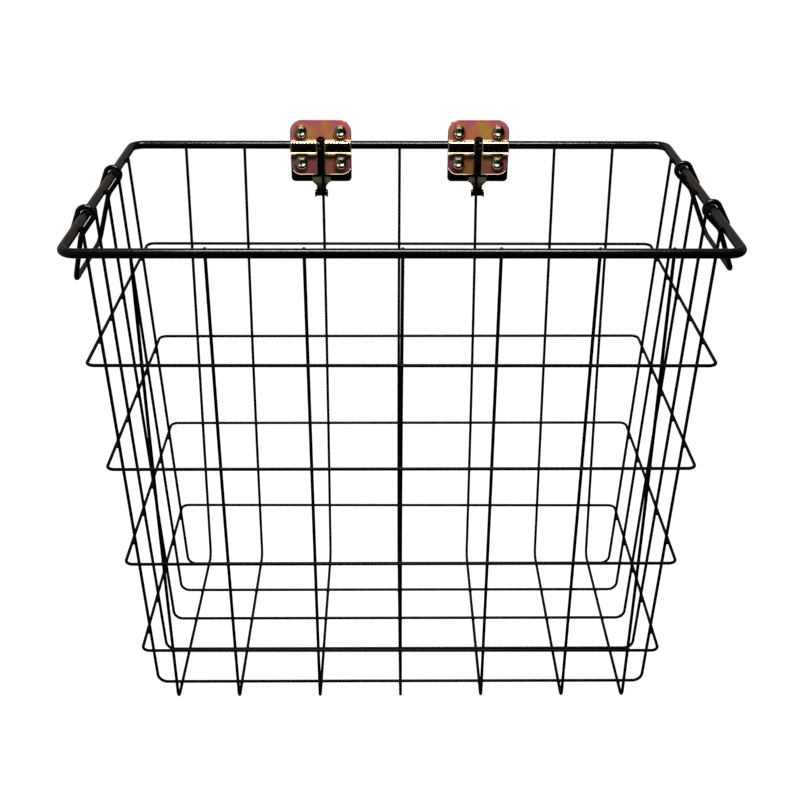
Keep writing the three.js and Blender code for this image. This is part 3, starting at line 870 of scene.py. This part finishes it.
def hook(name, x0):
    """The strip hook behind the back plate: a kicked-out foot, a leg, the bow over the handlebar and
    a lip that flares outward."""
    leg_y = BACK_FLAT_Y + BACK_T / 2 + GAP + HOOK_T / 2
    far_y = RIM_HALF_Y + ROD_R + GAP + BACK_T + GAP + HOOK_T / 2 + 0.2
    foot_y = leg_y + FOOT_KICK
    r = HOOK_BAR_R + HOOK_T / 2
    centre_y = far_y + r
    foot = [(0, foot_y, FOOT_BOTTOM), (0, foot_y, -19.3), (0, leg_y, -16.6), (0, leg_y, -12.4)]
    jog = [(0, leg_y, -12.4), (0, leg_y, -8.2), (0, far_y, -4.9), (0, far_y, HOOK_CENTRE_Z + 0.9)]
    lip = [(0, centre_y + r, HOOK_CENTRE_Z), (0, centre_y + r, -15), (0, centre_y + r + 3, -20.5)]
    points = round_path(foot, 2.5, 6)[:-1] + round_path(jog, 3, 6)[1:]
    profile = [(p.y, p.z) for p in points]
    profile += arc2(centre_y, HOOK_CENTRE_Z, r, 170, 0, 40)[:-1]
    profile += [(p.y, p.z) for p in round_path(lip, 5, 6)]
    # the strap's ends have rounded corners, laid out along its length
    lengths = [0.0]
    for a, b in zip(profile, profile[1:]):
        lengths.append(lengths[-1] + math.dist(a, b))
    total, corner = lengths[-1], 4.0
    extra = [corner * (1 - math.cos(math.pi / 2 * k / 7)) for k in range(1, 8)]
    dense = []
    for (a, b), (la, lb) in zip(zip(profile, profile[1:]), zip(lengths, lengths[1:])):
        cuts = [la] + [s for s in sorted(extra + [total - e for e in extra]) if la + 0.03 < s < lb - 0.03]
        for s in cuts:
            t = (s - la) / (lb - la)
            dense.append((a[0] + (b[0] - a[0]) * t, a[1] + (b[1] - a[1]) * t, s))
    dense.append((*profile[-1], total))
    widths = []
    for _, _, s in dense:
        depth = min(s, total - s)
        inset = 0.0 if depth >= corner else corner - math.sqrt(max(corner ** 2 - (corner - depth) ** 2, 0))
        widths.append(HOOK_HALF - inset)
    return bent_plate(name, x0, [(y, z) for y, z, _ in dense], HOOK_T, widths, columns=5, bevel=0.5)


def rivet(name, x, z, grip):
    """Round head on the inside, shank through the plates and a small clinched tail."""
    y0 = RIM_HALF_Y - GAP / 2 - INNER_T - 0.02
    dome_h = 3.3
    outline = [(0.0, -dome_h)]
    for k in range(1, 13):
        a = math.pi / 2 * (1 - k / 12)
        outline.append((RIVET_HEAD_R * math.cos(a) ** 0.92, -0.25 - (dome_h - 0.25) * math.sin(a)))
    outline += [(RIVET_HEAD_R - 0.08, -0.05), (RIVET_HEAD_R - 0.3, 0.0), (RIVET_SHANK_R, 0.0)]
    outline += [(RIVET_SHANK_R, grip), (3.0, grip), (3.2, grip + 0.2), (3.15, grip + 0.8), (2.8, grip + 1.2)]
    outline += [(1.8, grip + 1.3), (1.5, grip + 1.0), (0.0, grip + 0.7)]
    sides = 36
    verts, faces, rows = [], [], []
    for r, d in outline:
        if r < 1e-6:
            rows.append([len(verts)] * sides)
            verts.append((x, y0 + d, z))
            continue
        rows.append([len(verts) + k for k in range(sides)])
        for k in range(sides):
            a = 2 * math.pi * k / sides
            verts.append((x + r * math.cos(a), y0 + d, z + r * math.sin(a)))
    for a, b in zip(rows, rows[1:]):
        for k in range(sides):
            m = (k + 1) % sides
            add_face(faces, a[k], a[m], b[m], b[k])
    obj = link_mesh(name, verts, faces)
    close_mesh(obj)
    obj.data.set_sharp_from_angle(angle=math.radians(SHARP_EDGE))
    return obj


UPPER_GRIP = INNER_T + BACK_T + 3 * GAP
LOWER_GRIP = UPPER_GRIP + HOOK_T + GAP


def zinc_piece(obj, *nodes):
    return finish_piece(obj, "basket", nodes, ZINC)


for label, x0 in (("left", -BRACKET_X), ("right", BRACKET_X)):
    zinc_piece(inner_plate(f"inner_plate_{label}_sheet", x0), f"inner_plate_{label}")
    zinc_piece(back_plate(f"back_plate_{label}_sheet", x0), f"back_plate_{label}")
    zinc_piece(back_tail(f"back_plate_{label}_tail", x0))
    zinc_piece(tail_ears(f"back_plate_{label}_ears", x0))
    zinc_piece(hook(f"handlebar_hook_{label}_strap", x0), f"handlebar_hook_{label}")
    for where, dx in (("a", -RIVET_X), ("b", RIVET_X)):
        for level, z, grip in (("upper", RIVET_UP_Z, UPPER_GRIP), ("lower", RIVET_LOW_Z, LOWER_GRIP)):
            node = f"rivet_{label}_{level}_{where}"
            head = rivet(f"{node}_head", x0 + dx, z, grip)
            finish_piece(head, "basket", [node], RIVET)


# ---------------------------------------------------------------- floor, light and camera
def backdrop_shader(name, glow, albedo):
    mat, nodes, links, bsdf = new_material(name)
    bsdf.inputs["Base Color"].default_value = (albedo, albedo, albedo, 1)
    bsdf.inputs["Roughness"].default_value = 1.0
    bsdf.inputs["Specular IOR Level"].default_value = 0.0
    bsdf.inputs["Emission Color"].default_value = (1, 1, 1, 1)
    bsdf.inputs["Emission Strength"].default_value = glow
    return mat


def floor():
    """A plain white floor; the studio seen in reflections is the world's."""
    mesh = bpy.data.meshes.new("floor")
    size, z = 30.0, cad_lo.z - 0.0005
    corners = [(-size, -size, z), (size, -size, z), (size, size, z), (-size, size, z)]
    mesh.from_pydata(corners, [], [(0, 1, 2, 3)])
    obj = bpy.data.objects.new("floor", mesh)
    bpy.context.scene.collection.objects.link(obj)
    mesh.materials.append(backdrop_shader("floor_white", 1.0, 0.16))
    obj.visible_glossy = obj.visible_diffuse = False


def backdrop():
    """A plain white surround, seen only where a low view looks over the floor's edge."""
    mesh = bpy.data.meshes.new("backdrop")
    made = bmesh.new()
    bmesh.ops.create_uvsphere(made, u_segments=32, v_segments=16, radius=28.0)
    made.to_mesh(mesh)
    made.free()
    obj = bpy.data.objects.new("backdrop", mesh)
    bpy.context.scene.collection.objects.link(obj)
    mesh.materials.append(backdrop_shader("backdrop_white", 1.05, 0.0))
    for ray in ("diffuse", "glossy", "transmission", "volume_scatter", "shadow"):
        setattr(obj, f"visible_{ray}", False)


def area_light(name, location, target, size, power):
    data = bpy.data.lights.new(name, "AREA")
    data.shape = "RECTANGLE"
    data.size, data.size_y = size
    data.energy = power
    obj = bpy.data.objects.new(name, data)
    obj.location = location
    obj.rotation_mode = "QUATERNION"
    obj.rotation_quaternion = (Vector(target) - Vector(location)).to_track_quat("-Z", "Y")
    obj.visible_camera = False
    bpy.context.scene.collection.objects.link(obj)
    return obj


def lit_group(name, material):
    """The pieces of one material, for a light that is for them alone."""
    group = bpy.data.collections.new(name)
    for obj in bpy.data.objects:
        if obj.type == "MESH" and obj.data.materials and obj.data.materials[0] == material:
            group.objects.link(obj)
    return group


def accent(name, group, location, target, size, power):
    """A light seen only as a reflection on one group of pieces."""
    light = area_light(name, location, target, size, power)
    light.visible_diffuse = False
    light.light_linking.receiver_collection = group


def lights():
    """One overhead strip for everything but the rivets, and accents for the plates and the rivets."""
    key = area_light("key", at(0, -230, 760), at(0, 0, 0), (0.5, 0.12), 10)
    not_key = lit_group("not_key", RIVET)
    key.light_linking.receiver_collection = not_key
    for entry in not_key.collection_objects:
        entry.light_linking.link_state = "EXCLUDE"
    plates, rivets, heads = lit_group("plates", ZINC), lit_group("rivets", RIVET), at(0, RIM_HALF_Y, 0)
    accent("under", plates, at(0, 200, -300), at(0, 200, 0), (0.7, 0.5), 3.2)
    accent("rivet_sky", rivets, at(0, -300, 700), heads, (0.9, 0.7), 1.7)
    accent("rivet_spark_right", rivets, at(51, -179, -185), heads, (0.20, 0.12), 0.24)
    accent("rivet_spark_left", rivets, at(-191, -114, -185), heads, (0.08, 0.08), 0.06)


def world():
    """Studio round the object: dark in front, warm grey behind, bright low and high behind."""
    made = bpy.data.worlds.new("studio")
    bpy.context.scene.world = made
    made.use_nodes = True
    nodes, links = made.node_tree.nodes, made.node_tree.links
    background = nodes["Background"]
    split = nodes.new("ShaderNodeSeparateXYZ")
    links.new(nodes.new("ShaderNodeTexCoord").outputs["Generated"], split.inputs["Vector"])

    def ramp(axis, stops):
        """The colours met along one axis of the direction looked in, from -1 to 1."""
        along = map_range(nodes, links, split.outputs[axis], -1, 1, 0, 1)
        return ramp_node(nodes, links, along, stops).outputs["Color"]

    # how bright the back half is at each height, from straight down to straight up
    height = ramp("Z", [
        (0.00, (0.02, 0.02, 0.02)), (0.40, (0.02, 0.02, 0.02)), (0.50, (0.20, 0.17, 0.15)),
        (0.70, (0.20, 0.17, 0.15)), (0.90, (0.12, 0.11, 0.10)), (1.00, (0.10, 0.10, 0.10))])
    behind = ramp("Y", [
        (0.00, (0.03, 0.03, 0.03)), (0.48, (0.04, 0.04, 0.04)), (0.62, (1, 1, 1)), (1.00, (1, 1, 1))])
    left = ramp("X", [
        (0.00, (0.14, 0.14, 0.13)), (0.22, (0.10, 0.10, 0.09)), (0.45, (0.0, 0.0, 0.0)), (1.00, (0, 0, 0))])
    product = nodes.new("ShaderNodeMix")
    product.data_type, product.blend_type = "RGBA", "MULTIPLY"
    product.inputs[0].default_value = 1.0
    links.new(height, product.inputs[6])
    links.new(behind, product.inputs[7])
    total = nodes.new("ShaderNodeMix")
    total.data_type, total.blend_type = "RGBA", "ADD"
    total.inputs[0].default_value = 1.0
    links.new(product.outputs[2], total.inputs[6])
    links.new(left, total.inputs[7])
    links.new(total.outputs[2], background.inputs["Color"])
    background.inputs["Strength"].default_value = 1.0


def camera():
    data = bpy.data.cameras.new("camera")
    data.sensor_width = 36.0
    data.lens = 57.83
    data.clip_start, data.clip_end = 0.02, 100.0
    obj = bpy.data.objects.new("camera", data)
    bpy.context.scene.collection.objects.link(obj)
    pitch, yaw, roll = (math.radians(a) for a in (26.14, 0.563, 0.205))
    forward = Vector((math.sin(yaw) * math.cos(pitch), math.cos(yaw) * math.cos(pitch), -math.sin(pitch)))
    right = Vector((math.cos(yaw), -math.sin(yaw), 0))
    up = right.cross(forward)
    right, up = (right * math.cos(roll) + up * math.sin(roll), up * math.cos(roll) - right * math.sin(roll))
    turn = Matrix((right, up, -forward)).transposed()
    obj.matrix_world = Matrix.Translation(at(-7.860, -780.868, 238.164)) @ turn.to_4x4()
    bpy.context.scene.camera = obj


floor()
backdrop()
world()
lights()
camera()
bpy.context.scene.view_settings.view_transform = "Standard"
